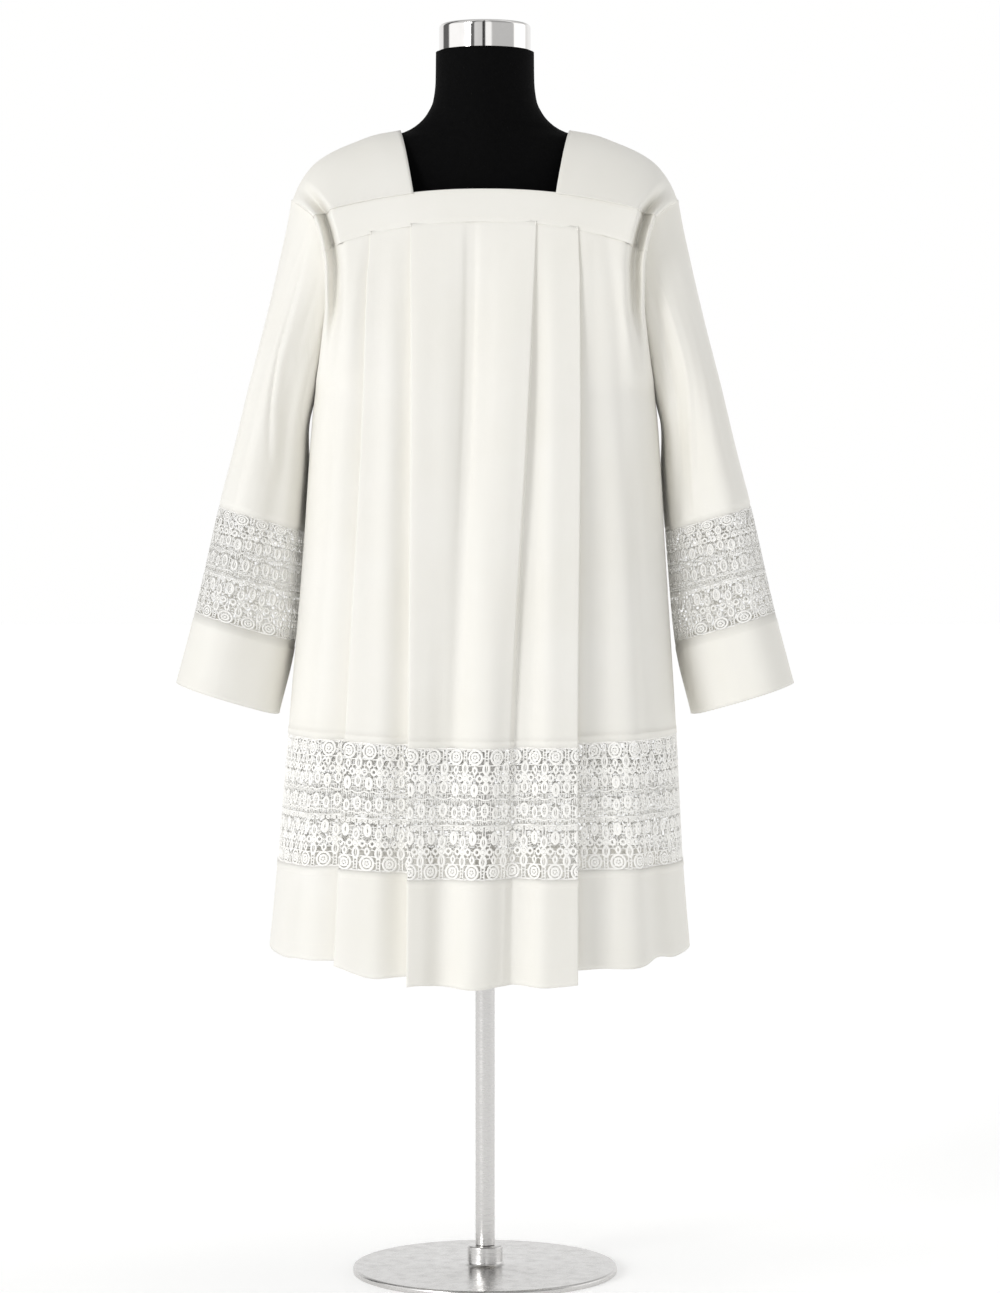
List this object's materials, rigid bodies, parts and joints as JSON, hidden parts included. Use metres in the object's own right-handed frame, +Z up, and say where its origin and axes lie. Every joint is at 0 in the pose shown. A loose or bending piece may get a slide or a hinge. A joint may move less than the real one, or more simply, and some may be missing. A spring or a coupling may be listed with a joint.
{
  "type": "surplice on a dress form",
  "caption": "Ivory square-neck surplice with pleated body and lace insertions, worn by a limbless dress form on a round stand.",
  "frame": {"origin": "under the middle of the stand's round base, on the floor", "axes": "+Z up, the garment's front faces -Y, +X towards the picture's right"},
  "size_m": [0.7884, 0.4909, 1.597],
  "materials": {
    "ivory_cloth": "matte",
    "ivory_lace": "matte",
    "black_jersey": "matte",
    "polished_steel": "polished",
    "stand_steel": "satin"
  },
  "bodies": {
    "root": {"front_band": "ivory_cloth", "back_band": "ivory_cloth", "shoulder_left": "ivory_cloth", "shoulder_right": "ivory_cloth", "front_panel": "ivory_cloth", "back_panel": "ivory_cloth", "lace_front": "ivory_lace", "lace_back": "ivory_lace", "hem_front": "ivory_cloth", "hem_back": "ivory_cloth", "sleeve_left": "ivory_cloth", "sleeve_right": "ivory_cloth", "sleeve_lace_left_front": "ivory_lace", "sleeve_lace_left_back": "ivory_lace", "sleeve_lace_right_front": "ivory_lace", "sleeve_lace_right_back": "ivory_lace", "cuff_left": "ivory_cloth", "cuff_right": "ivory_cloth", "form_torso": "black_jersey", "neck_cap": "polished_steel", "form_pole": "stand_steel", "form_base": "stand_steel"}
  },
  "joints": []
}
